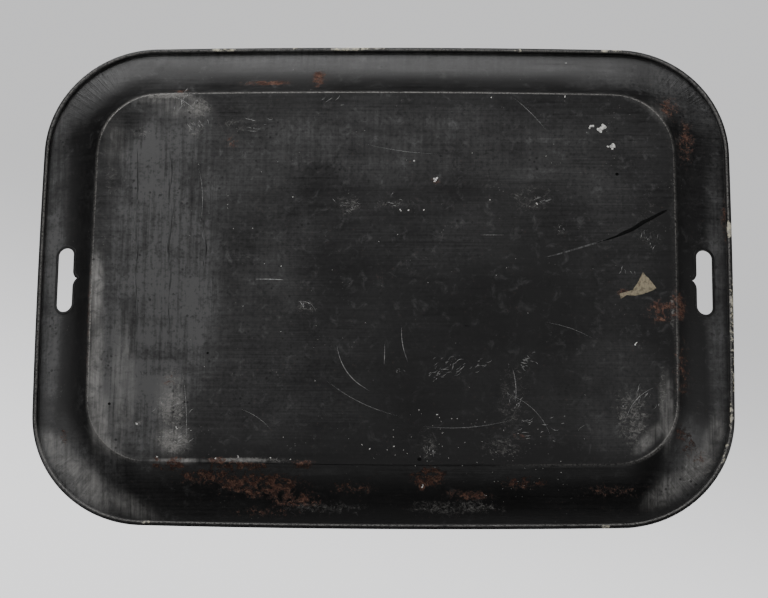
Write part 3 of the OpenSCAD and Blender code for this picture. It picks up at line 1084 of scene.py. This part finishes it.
class Border:
    """Finds places along the flange by their distance round it."""

    def __init__(self, sheet, u):
        self.sheet, self.u = sheet, u
        self.turns = sheet.stations(24, 60, 40)
        self.turns.append(self.turns[0] + math.tau)
        self.reach = [0.0]
        spots = [Vector(sheet.at(turn, u)) for turn in self.turns]
        for a, b in zip(spots, spots[1:]):
            self.reach.append(self.reach[-1] + (b - a).length)

    def lay(self, along, out, height):
        """A point on the flange's upper face, at a distance round it and outwards from the middle line."""
        along %= self.reach[-1]
        low, high = 0, len(self.reach) - 1
        while high - low > 1:
            half = (low + high) // 2
            low, high = (half, high) if self.reach[half] <= along else (low, half)
        share = (along - self.reach[low]) / (self.reach[high] - self.reach[low])
        turn = self.turns[low] + (self.turns[high] - self.turns[low]) * share
        u = self.u + out
        x, y = self.sheet.at(turn, u)
        return Vector((x, y, self.sheet.upper_face(u) + self.sheet.dent(x, y) + height))


def lay_flat(x, y, height):
    """A point of a motif that isn't on the flange yet."""
    return Vector((x, y, height * MM))


def model_sprig():
    """One motif of the border, in metres: a fan of five leaves with a scroll on each side."""
    leaf = model_petal("gilt_leaf", 0.6, 0.9, 1.8)
    parts = []
    fan = ((90, 12, 5, 0), (130, 9, 3.6, -1), (50, 9, 3.6, 1), (168, 7, 2.6, -2), (12, 7, 2.6, 2))
    for turn, size, width, x in fan:
        spin = Matrix.Rotation(math.radians(turn), 2)

        def move(p, spin=spin, size=size, width=width, x=x):
            q = spin @ Vector((p.x * size, p.y * width))
            return Vector(((q.x + x) * MM, (q.y - 6) * MM, (0.1 * p.z if p.z > 0 else -0.1) * MM))

        parts.append(copy_of(leaf, move))
    for side in (-1, 1):
        scroll = []
        for k in range(15):
            turn = math.radians(-70 + 26 * k)
            r = 5.2 * (1 - k / 18)
            scroll.append(Vector((side * (11 + r * math.cos(turn)), -2.5 + r * math.sin(turn))) * MM)
        parts.append(stroke("scroll", scroll, 1.1 * MM, lay_flat, height=0.1, taper=0.3))
    bpy.data.objects.remove(leaf)
    return join("sprig", parts)


def build_gilding(sheet):
    """Gold lines round the floor and inside the rim, and a border of sprigs on the flange."""
    parts = []
    floor_u = -sheet.flange_w
    lines = ((floor_u - 9 * MM, 1.7 * MM), (floor_u - 12.5 * MM, 0.7 * MM), (-9 * MM, 1.3 * MM))
    for u, width in lines:
        path = []
        for out, height in ((-0.5, -0.08), (-0.42, 0.07), (0.42, 0.07), (0.5, -0.08)):
            path.append(Vector((u + out * width, sheet.upper_face(u + out * width) + height * MM)))
        parts.append(swept("gold_line", sheet, path))
    border = Border(sheet, -27 * MM)
    sprig = model_sprig()
    count = round(border.reach[-1] / (37 * MM))
    for k in range(count):
        middle = border.reach[-1] * k / count
        centre = border.lay(middle, 0, 0)
        if abs(centre.x) > sheet.half_l - 60 * MM and abs(centre.y) < 62 * MM:
            continue
        parts.append(copy_of(sprig, lambda p, middle=middle: border.lay(middle - p.x, p.y, p.z)))
    bpy.data.objects.remove(sprig)
    gilding = join("gilding", parts)
    weld(gilding, recalculate=False)
    turn_up(gilding)
    return gilding


def turn_up(piece):
    """Turns over the faces that look down into the tray."""
    pick(piece)
    bpy.ops.object.mode_set(mode="EDIT")
    bpy.ops.mesh.select_all(action="DESELECT")
    mesh = bmesh.from_edit_mesh(piece.data)
    for f in mesh.faces:
        f.select = f.normal.z < -0.05
    bmesh.update_edit_mesh(piece.data)
    bpy.ops.mesh.flip_normals()
    bpy.ops.object.mode_set(mode="OBJECT")


# ---------------------------------------------------------------- finishes


class Finish:
    """A material, mixed one node at a time."""

    def __init__(self, name):
        self.material = bpy.data.materials.new(name)
        self.material.use_nodes = True
        self.tree = self.material.node_tree
        self.shader = self.tree.nodes["Principled BSDF"]
        self.place = self.add("ShaderNodeTexCoord").outputs["Object"]

    def add(self, kind, **settings):
        node = self.tree.nodes.new(kind)
        for key, value in settings.items():
            setattr(node, key, value)
        return node

    def feed(self, node, socket, value):
        """Links an output to a socket, or sets the socket to a constant."""
        if isinstance(value, bpy.types.NodeSocket):
            self.tree.links.new(value, node.inputs[socket])
        else:
            node.inputs[socket].default_value = value

    def set(self, **values):
        """Feeds the shader's sockets: base_color is Base Color, and so on."""
        for key, value in values.items():
            self.feed(self.shader, key.replace("_", " ").title().replace("Ior", "IOR"), value)

    def stretched(self, x, y, z=1.0, source=None):
        node = self.add("ShaderNodeMapping")
        self.feed(node, "Vector", source or self.place)
        node.inputs["Scale"].default_value = (x, y, z)
        return node.outputs["Vector"]

    def noise(self, scale, detail=3.0, rough=0.55, twist=0.0, source=None):
        node = self.add("ShaderNodeTexNoise")
        self.feed(node, "Vector", source or self.place)
        values = {"Scale": scale, "Detail": detail, "Roughness": rough, "Distortion": twist}
        for socket, value in values.items():
            node.inputs[socket].default_value = value
        return node.outputs["Fac"]

    def cells(self, scale):
        node = self.add("ShaderNodeTexVoronoi")
        self.feed(node, "Vector", self.place)
        node.inputs["Scale"].default_value = scale
        return node.outputs["Distance"]

    def attribute(self, name):
        return self.add("ShaderNodeAttribute", attribute_name=name).outputs["Fac"]

    def map(self, name):
        return self.add("ShaderNodeUVMap", uv_map=name).outputs["UV"]

    def calc(self, operation, *values):
        node = self.add("ShaderNodeMath", operation=operation)
        for k, value in enumerate(values):
            self.feed(node, k, value)
        return node.outputs[0]

    def times(self, a, b):
        return self.calc("MULTIPLY", a, b)

    def plus(self, a, b):
        return self.calc("ADD", a, b)

    def mask(self, value, low, high, top=1.0):
        """0 where value is low, top where it is high, and smooth between."""
        node = self.add("ShaderNodeMapRange", interpolation_type="SMOOTHSTEP")
        self.feed(node, "Value", value)
        node.inputs["From Min"].default_value = low
        node.inputs["From Max"].default_value = high
        node.inputs["To Max"].default_value = top
        return node.outputs["Result"]

    def mix(self, factor, a, b):
        node = self.add("ShaderNodeMix", data_type="RGBA")
        self.feed(node, "Factor", factor)
        for socket, value in ((6, a), (7, b)):
            self.feed(node, socket, (*value, 1) if not isinstance(value, bpy.types.NodeSocket) else value)
        return node.outputs[2]

    def blend(self, factor, a, b):
        node = self.add("ShaderNodeMix", data_type="FLOAT")
        self.feed(node, "Factor", factor)
        self.feed(node, "A", a)
        self.feed(node, "B", b)
        return node.outputs[0]

    def relief(self, height, depth):
        """Adds a bump of the given depth over the bumps that are there."""
        node = self.add("ShaderNodeBump")
        self.feed(node, "Height", height)
        node.inputs["Distance"].default_value = depth
        link = self.shader.inputs["Normal"].links
        if link:
            self.tree.links.new(link[0].from_socket, node.inputs["Normal"])
        self.tree.links.new(node.outputs["Normal"], self.shader.inputs["Normal"])


def worn_lacquer_and_painted_light(colours):
    """Old black japan: dust with painted reflection, dirt with painted shade, rust, rubbed patches, chips
    down to the cream ground and a painted highlight along the bead.
    """
    f = Finish("worn_lacquer_and_painted_light")
    grain = f.noise(900, 2)
    fine = f.noise(240, 4, 0.65)
    cloud = f.noise(14, 5, 0.6, 0.4)
    broad = f.noise(4.5, 3, 0.5)
    blots = f.noise(75, 5, 0.7, 0.6)
    across = f.noise(1, 4, 0.7, 0, f.stretched(9, 520, 5))
    upright = f.noise(1, 4, 0.7, 0, f.stretched(210, 9, 7))
    spokes = f.noise(1, 4, 0.65, 0.3, f.stretched(330, 14, 1, f.map("round")))

    # Painted reflection, mixed with dust: the pale grey comes in where the patches of dust and sheen lie.
    bloom_and_sheen = f.times(f.attribute("bloom_and_sheen"), f.mask(cloud, 0.12, 0.75))
    haze_and_sheen = f.plus(bloom_and_sheen, f.mask(broad, 0.4, 0.8, 0.16))
    streaks = f.blend(f.attribute("bloom_and_sheen"), f.mask(across, 0.2, 0.8, 1.35), f.mask(upright, 0.15, 0.8, 1.3))
    haze_and_sheen = f.times(haze_and_sheen, f.plus(0.22, streaks))
    haze_and_sheen = f.plus(haze_and_sheen, f.mask(blots, 0.52, 0.78, 0.5))
    bands = f.noise(1, 4, 0.6, 0.2, f.stretched(3, 60, 3))
    haze_and_sheen = f.times(haze_and_sheen, f.plus(0.72, f.mask(bands, 0.25, 0.75, 0.5)))
    # Painted shade, mixed with dirt: less of that pale grey where the patches of dirt and shade lie, so
    # darker there.
    haze_and_sheen = f.times(haze_and_sheen, f.calc("SUBTRACT", 1.0, f.attribute("grime_and_shade")))
    haze_and_sheen = f.times(haze_and_sheen, f.mask(fine, 0.1, 0.62, 1.15))
    tone = f.mix(haze_and_sheen, colours.lacquer, colours.bloom_and_sheen)

    rubbing = f.blend(f.attribute("corner"), f.mask(upright, 0.2, 0.68), f.mask(spokes, 0.05, 0.75))
    worn = f.times(f.attribute("pale"), rubbing)
    worn = f.times(worn, f.plus(0.35, f.mask(blots, 0.3, 0.62, 0.8)))
    tone = f.mix(worn, tone, colours.pale)

    pits = f.mask(f.noise(85, 6, 0.75, 0.5), 0.38, 0.58)
    rusting = f.times(f.attribute("rust"), pits)
    crumbly = f.plus(f.mask(fine, 0.3, 0.7, 0.35), f.mask(f.noise(430, 5, 0.8), 0.35, 0.65, 0.3))
    rusted = f.mask(f.plus(rusting, crumbly), 0.5, 0.94)
    rust_tone = f.mix(f.mask(f.noise(190, 5, 0.75), 0.42, 0.62), colours.old_rust, colours.rust)
    fresh = f.mask(f.noise(260, 5, 0.8, 0.6), 0.48, 0.64, 0.75)
    rust_tone = f.mix(fresh, rust_tone, colours.fresh_rust)
    tone = f.mix(f.times(rusted, 0.9), tone, rust_tone)

    speckle = f.noise(1, 8, 0.9, 0.9, f.stretched(150, 190, 150))
    rub = f.plus(f.attribute("rubbed"), f.times(f.mask(speckle, 0.3, 0.72), 0.9))
    rubbed = f.mask(rub, 0.72, 1.3, 0.7)
    tone = f.mix(rubbed, tone, colours.bare)
    # Pale broken lines of bare iron: wear along the crease, and along the bead's crest a line that is partly
    # a painted highlight.
    flaking_and_glint = f.times(f.mask(f.noise(60, 4, 0.7), 0.2, 0.5), f.mask(f.noise(420, 4, 0.8), 0.36, 0.58, 1.3))
    line = f.times(f.attribute("line"), flaking_and_glint)
    tone = f.mix(line, tone, colours.bare)

    spots = f.calc("LESS_THAN", f.cells(260), 0.14)
    chance = f.mask(f.noise(34, 3, 0.6), 0.56, 0.7)
    specks = f.times(f.times(spots, chance), 0.45)
    tone = f.mix(specks, tone, colours.bare * 0.8)
    pocks = f.times(f.mask(f.cells(150), 0.3, 0.12, 0.85), f.mask(f.noise(26, 3, 0.6), 0.5, 0.66))
    tone = f.mix(pocks, tone, colours.lacquer)

    chip_edge = f.plus(f.attribute("chipped"), f.mask(f.noise(170, 4, 0.7), 0.2, 0.8))
    chipped = f.mask(chip_edge, 1.18, 1.3)
    tone = f.mix(chipped, tone, f.mix(f.mask(fine, 0.4, 0.6), colours.primer, colours.bare))

    f.set(base_color=tone)
    f.set(metallic=f.times(rubbed, 0.25))
    smear = f.plus(f.mask(cloud, 0.3, 0.7, 0.12), f.mask(fine, 0.2, 0.8, 0.12))
    gloss = f.plus(f.plus(0.24, smear), f.times(rusted, 0.4))
    gloss = f.plus(gloss, f.mask(across, 0.3, 0.7, 0.14))
    f.set(roughness=gloss, specular_ior_level=0.36)
    wrinkle = f.noise(1, 3, 0.6, 0.6, f.stretched(190, 26, 1, f.map("round")))
    f.relief(f.times(wrinkle, f.attribute("corner")), 0.9 * MM)
    f.relief(grain, 0.02 * MM)
    f.relief(f.noise(55, 3, 0.5), 0.14 * MM)
    f.relief(across, 0.07 * MM)
    f.relief(f.calc("SUBTRACT", f.times(rusted, fine), f.times(chipped, 0.8)), 0.25 * MM)
    return f.material


def face_lacquer(colours):
    """The glossy black ground of the painted side, with fine craquelure and light scratches."""
    f = Finish("face_lacquer")
    cloud = f.noise(18, 4, 0.6)
    tone = f.mix(f.mask(cloud, 0.4, 0.8, 0.5), colours.face, colours.face * 2.4)
    wander = f.noise(9, 2, 0.5, 1.5)
    hair = f.calc("ABSOLUTE", f.calc("SUBTRACT", wander, 0.5))
    scratch = f.times(f.mask(hair, 0.0035, 0.0), f.mask(f.noise(30, 2), 0.5, 0.65, 0.35))
    tone = f.mix(scratch, tone, (0.12, 0.11, 0.1))
    edge = f.plus(f.attribute("chipped"), f.mask(f.noise(170, 4, 0.7), 0.2, 0.8))
    tone = f.mix(f.mask(edge, 1.18, 1.3), tone, colours.primer)
    f.set(base_color=tone, specular_ior_level=0.5, coat_weight=0.4, coat_roughness=0.06)
    f.set(roughness=f.plus(0.16, f.mask(cloud, 0.3, 0.8, 0.14)))
    f.relief(f.noise(70, 3), 0.05 * MM)
    return f.material


def iron():
    """Dull drawn iron."""
    f = Finish("iron_wire_finish")
    tone = f.mix(f.mask(f.noise(300, 4), 0.3, 0.7), (0.05, 0.04, 0.035), (0.16, 0.13, 0.11))
    f.set(base_color=tone, metallic=0.8, roughness=0.6)
    f.relief(f.noise(700, 2), 0.05 * MM)
    return f.material


def pale_mark():
    """Grey-white dust in a scratch."""
    f = Finish("pale_mark")
    tone = f.mix(f.mask(f.noise(420, 3), 0.35, 0.65), (0.16, 0.16, 0.162), (0.46, 0.46, 0.45))
    f.set(base_color=tone, metallic=0.2, roughness=0.55)
    f.relief(f.noise(900, 2), 0.02 * MM)
    return f.material


def black_varnish(colours):
    """Thick black varnish, matt where it has crazed."""
    f = Finish("black_varnish")
    tone = f.mix(f.mask(f.noise(90, 4, 0.7), 0.5, 0.7, 0.5), (0.0012, 0.0012, 0.0013), colours.lacquer)
    f.set(base_color=tone, specular_ior_level=0.12)
    f.set(roughness=f.plus(0.45, f.mask(f.noise(260, 3), 0.3, 0.7, 0.25)))
    f.relief(f.noise(420, 3), 0.04 * MM)
    return f.material


def creased_lacquer(colours):
    """Lacquer along a sharp crease, cracked dark and rubbed pale by turns."""
    f = Finish("creased_lacquer")
    along = f.noise(1, 5, 0.75, 0.5, f.stretched(320, 38, 20))
    tone = f.mix(f.mask(along, 0.36, 0.66), colours.lacquer, colours.bloom_and_sheen * 1.15)
    f.set(base_color=tone, specular_ior_level=0.5, roughness=0.42)
    f.relief(f.noise(500, 3), 0.05 * MM)
    return f.material


def crumb():
    """Old white paint."""
    f = Finish("crumb")
    tone = f.mix(f.mask(f.noise(300, 3), 0.4, 0.6), (0.5, 0.49, 0.47), (0.86, 0.85, 0.82))
    f.set(base_color=tone, roughness=0.7)
    f.relief(f.noise(800, 2), 0.03 * MM)
    return f.material


def old_paper(colours):
    """Yellowed paper with rust soaking in from its tail."""
    f = Finish("old_paper_finish")
    fibre = f.noise(1, 5, 0.7, 0.3, f.stretched(500, 160, 300))
    tone = f.mix(f.mask(fibre, 0.3, 0.7), colours.paper * 0.72, colours.paper)
    tone = f.mix(f.mask(f.noise(230, 3, 0.6), 0.46, 0.62, 0.75), tone, colours.paper * 0.4)
    tone = f.mix(f.mask(f.noise(110, 5, 0.7), 0.52, 0.68, 0.8), tone, colours.rust)
    f.set(base_color=tone, roughness=0.85)
    f.relief(fibre, 0.06 * MM)
    return f.material


def oil_paint():
    """Oil paint laid with a loaded brush: the hairs' tracks run along each petal, under clear varnish."""
    f = Finish("oil_paint")
    tint = f.add("ShaderNodeAttribute", attribute_name="paint").outputs["Color"]
    hairs = f.noise(1, 3, 0.6, 0.2, f.stretched(2.5, 26, 1, f.map("stroke")))
    mottle = f.noise(160, 4, 0.6)
    darker = f.add("ShaderNodeMix", data_type="RGBA", blend_type="MULTIPLY")
    f.feed(darker, "Factor", 1.0)
    f.feed(darker, 6, tint)
    f.feed(darker, 7, f.mix(f.mask(hairs, 0.3, 0.7), (0.68, 0.68, 0.68), (1.22, 1.2, 1.18)))
    tone = f.mix(f.mask(mottle, 0.55, 0.75, 0.25), darker.outputs[2], (0.02, 0.018, 0.015))
    f.set(base_color=tone, coat_weight=0.5, coat_roughness=0.08)
    f.set(roughness=f.plus(0.3, f.mask(hairs, 0.3, 0.8, 0.15)))
    f.relief(hairs, 0.07 * MM)
    return f.material


def old_gilding(colours):
    """Bronze powder on size, worn thin in places."""
    f = Finish("old_gilding")
    cloud = f.noise(60, 5, 0.65)
    tone = f.mix(f.mask(cloud, 0.35, 0.7), colours.gilt, colours.gilt * 0.55)
    worn = f.mask(f.noise(210, 5, 0.7), 0.58, 0.68, 0.85)
    tone = f.mix(worn, tone, colours.face)
    f.set(base_color=tone, metallic=f.calc("SUBTRACT", 0.85, f.times(worn, 0.8)), roughness=0.38)
    f.relief(f.noise(500, 3), 0.03 * MM)
    return f.material


# ---------------------------------------------------------------- operators


def sheet_of(context):
    return Sheet(context.scene.tray_sizes, context.scene.tray_wear)


class TRAY_OT_pan(Operator):
    """Model the iron pan with its dents, its wear, its painted reflection and shade, and its two faces"""

    bl_idname = "tray.pan"
    bl_label = "Pan"

    def execute(self, context):
        sheet = sheet_of(context)
        colours = context.scene.tray_colours
        pan = build_pan(sheet)
        mark_wear_and_painted_light(pan, sheet)
        finish_piece(pan, "black_lacquer", worn_lacquer_and_painted_light(colours), face_lacquer(colours))
        split_faces(pan, sheet)
        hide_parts("pan")
        hems = build_hems(sheet)
        finish_piece(hems, "black_lacquer", pan.data.materials[0])
        return {"FINISHED"}


class TRAY_OT_wire(Operator):
    """Model the wire inside the curled rim"""

    bl_idname = "tray.wire"
    bl_label = "Rim wire"

    def execute(self, context):
        sheet = sheet_of(context)
        wire = swept("wire_in_rim", sheet, arc(sheet.curl_c, sheet.sizes.wire / 2, 0, 330, 11), ring=True)
        finish_piece(wire, "iron_wire", iron())
        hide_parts("rim_wire")
        return {"FINISHED"}


class TRAY_OT_marks(Operator):
    """Model the creases, the black streak, the scratches and the crumbs of paint on the underside"""

    bl_idname = "tray.marks"
    bl_label = "Small marks"

    def execute(self, context):
        sheet = sheet_of(context)
        seed = context.scene.tray_wear.seed
        colours = context.scene.tray_colours
        finish_piece(build_creases(sheet), "black_lacquer", creased_lacquer(colours))
        finish_piece(build_streak(sheet), "black_lacquer", black_varnish(colours))
        finish_piece(build_scratches(sheet, seed), "bare_metal", pale_mark())
        finish_piece(build_flecks(sheet, seed), "old_paper", crumb())
        return {"FINISHED"}


class TRAY_OT_label(Operator):
    """Model the blank scrap of paper label on the underside"""

    bl_idname = "tray.label"
    bl_label = "Label scrap"

    def execute(self, context):
        finish_piece(build_label(sheet_of(context)), "old_paper", old_paper(context.scene.tray_colours))
        return {"FINISHED"}


class TRAY_OT_gilding(Operator):
    """Model the gold lines and the border on the painted side"""

    bl_idname = "tray.gilding"
    bl_label = "Gilding"

    def execute(self, context):
        finish_piece(build_gilding(sheet_of(context)), "gilding", old_gilding(context.scene.tray_colours))
        return {"FINISHED"}


class TRAY_OT_bouquet(Operator):
    """Model the painted bouquet, petal by petal"""

    bl_idname = "tray.bouquet"
    bl_label = "Bouquet"

    def execute(self, context):
        scene = context.scene
        bouquet = build_bouquet(sheet_of(context), scene.tray_colours, scene.tray_wear.seed)
        weld(bouquet, recalculate=False)
        turn_up(bouquet)
        finish_piece(bouquet, "bouquet_paint", oil_paint())
        return {"FINISHED"}


class TRAY_OT_stage(Operator):
    """Set up the floor, the backdrop, the lights and the camera"""

    bl_idname = "tray.stage"
    bl_label = "Stage"

    def execute(self, context):
        stage = context.scene.tray_stage
        rig = camera_frame(stage)
        set_camera(context, stage, rig)
        lay_floor()
        hang_world(rig)
        hang_lights(rig)
        return {"FINISHED"}


def camera_frame(stage):
    """The axes of the camera in the tray's frame: right, up and back."""
    lean = Matrix.Rotation(-stage.lean, 3, "X")
    turn = Matrix.Rotation(stage.turn, 3, "Y")
    roll = Matrix.Rotation(stage.roll, 3, "Z")
    face_up = Matrix(((-1, 0, 0), (0, 1, 0), (0, 0, -1)))
    return face_up @ (roll @ turn @ lean).transposed()


def from_camera(rig, right, up, back):
    """A place given in metres as the camera sees it, from the middle of the tray."""
    return rig @ Vector((right, up, back)) + Vector((0, 0, 30 * MM))


def set_camera(context, stage, rig):
    data = bpy.data.cameras.new("camera")
    camera = bpy.data.objects.new("camera", data)
    context.scene.collection.objects.link(camera)
    data.lens = stage.lens / MM
    data.sensor_width = 36
    camera.location = from_camera(rig, 0, 0, stage.distance)
    camera.rotation_euler = (rig @ Matrix.Rotation(-stage.aim, 3, "X")).to_euler()
    context.scene.camera = camera


def lay_floor():
    """A pale floor that is seen from above only, so that the underside can be looked at too."""
    tidy_selection()
    bpy.ops.mesh.primitive_plane_add(size=24, location=(0, 0, -0.3 * MM))
    floor = bpy.context.object
    floor.name = "floor"
    f = Finish("floor_paper")
    away = f.add("ShaderNodeVectorMath", operation="LENGTH")
    f.feed(away, 0, f.place)
    glow = f.plus(0.22, f.mask(away.outputs["Value"], 1.8, 5.5, 0.55))
    f.set(base_color=(0.5, 0.5, 0.505, 1), roughness=0.85)
    f.set(emission_color=(1, 1, 1, 1), emission_strength=glow)
    clear = f.add("ShaderNodeBsdfTransparent")
    side = f.add("ShaderNodeNewGeometry").outputs["Backfacing"]
    switch = f.add("ShaderNodeMixShader")
    f.feed(switch, 0, side)
    f.feed(switch, 1, f.shader.outputs[0])
    f.feed(switch, 2, clear.outputs[0])
    f.feed(f.tree.nodes["Material Output"], "Surface", switch.outputs[0])
    floor.data.materials.append(f.material)
    floor.visible_shadow = False
    floor.visible_diffuse = False
    floor.visible_glossy = False


def hang_world(rig):
    """A pale grey surround, a little lighter towards the bottom of the main view."""
    world = bpy.data.worlds.new("surround")
    bpy.context.scene.world = world
    world.use_nodes = True
    nodes, links = world.node_tree.nodes, world.node_tree.links
    where = nodes.new("ShaderNodeTexCoord").outputs["Generated"]
    dot = nodes.new("ShaderNodeVectorMath")
    dot.operation = "DOT_PRODUCT"
    links.new(where, dot.inputs[0])
    dot.inputs[1].default_value = rig @ Vector((0.25, 1, 0)).normalized()
    ramp = nodes.new("ShaderNodeMapRange")
    ramp.interpolation_type = "SMOOTHSTEP"
    links.new(dot.outputs["Value"], ramp.inputs["Value"])
    ramp.inputs["From Min"].default_value = -0.11
    ramp.inputs["From Max"].default_value = 0.02
    ramp.inputs["To Min"].default_value = 1.5
    ramp.inputs["To Max"].default_value = 0.8
    seen = nodes.new("ShaderNodeMix")
    links.new(nodes.new("ShaderNodeLightPath").outputs["Is Camera Ray"], seen.inputs["Factor"])
    seen.inputs["A"].default_value = 0.07
    links.new(ramp.outputs["Result"], seen.inputs["B"])
    links.new(seen.outputs[0], nodes["Background"].inputs["Strength"])
    nodes["Background"].inputs["Color"].default_value = (1, 1, 1.01, 1)


def hang_box(name, place, width, height, power):
    """A soft box aimed at the middle of the tray."""
    data = bpy.data.lights.new(name, "AREA")
    data.shape = "RECTANGLE"
    data.size, data.size_y, data.energy = width, height, power
    light = bpy.data.objects.new(name, data)
    bpy.context.scene.collection.objects.link(light)
    light.location = place
    light.rotation_euler = place.to_track_quat("Z", "Y").to_euler()


def hang_lights(rig):
    """Soft boxes: five on the camera's side for the underside, and two above for the painted face."""
    hang_box("box_overhead", from_camera(rig, -0.5, 2.55, 0.85), 2.4, 1.5, 58)
    hang_box("box_left", from_camera(rig, -2.4, 0.6, 1.8), 1.2, 1.8, 17)
    hang_box("box_front", from_camera(rig, 0.3, 1.0, 3.6), 1.6, 1.2, 8)
    hang_box("box_right", from_camera(rig, 2.4, 0.1, 1.3), 1.0, 1.6, 15)
    hang_box("box_low", from_camera(rig, 0.1, -2.3, 1.3), 2.4, 0.9, 7)
    hang_box("box_above", Vector((-1.2, -1.0, 2.4)), 1.8, 1.4, 60)
    hang_box("box_behind", Vector((0.8, 2.2, 1.6)), 2.0, 0.9, 35)


class TRAY_PT_panel(Panel):
    """Lists the pieces of the tray in the order in which they are made"""

    bl_label = "Tray"
    bl_idname = "TRAY_PT_panel"
    bl_space_type = "VIEW_3D"
    bl_region_type = "UI"
    bl_category = "Tray"

    def draw(self, context):
        for operator in PIECES:
            self.layout.operator(operator.bl_idname)
        for group in GROUPS:
            settings = getattr(context.scene, group)
            for name in settings.bl_rna.properties.keys():
                if name not in ("name", "rna_type"):
                    self.layout.prop(settings, name)


PIECES = (
    TRAY_OT_stage,
    TRAY_OT_pan,
    TRAY_OT_wire,
    TRAY_OT_marks,
    TRAY_OT_label,
    TRAY_OT_gilding,
    TRAY_OT_bouquet,
)
GROUPS = {
    "tray_sizes": TraySizes,
    "tray_wear": TrayWear,
    "tray_colours": TrayColours,
    "tray_stage": TrayStage,
}


def register():
    for group in GROUPS.values():
        bpy.utils.register_class(group)
    for name, group in GROUPS.items():
        setattr(bpy.types.Scene, name, PointerProperty(type=group))
    for piece in PIECES:
        bpy.utils.register_class(piece)
    bpy.utils.register_class(TRAY_PT_panel)


def unregister():
    bpy.utils.unregister_class(TRAY_PT_panel)
    for piece in reversed(PIECES):
        bpy.utils.unregister_class(piece)
    for name, group in GROUPS.items():
        delattr(bpy.types.Scene, name)
        bpy.utils.unregister_class(group)


def main():
    register()
    bpy.ops.tray.stage()
    bpy.ops.tray.pan()
    bpy.ops.tray.wire()
    bpy.ops.tray.marks()
    bpy.ops.tray.label()
    bpy.ops.tray.gilding()
    bpy.ops.tray.bouquet()


if __name__ == "__main__":
    main()
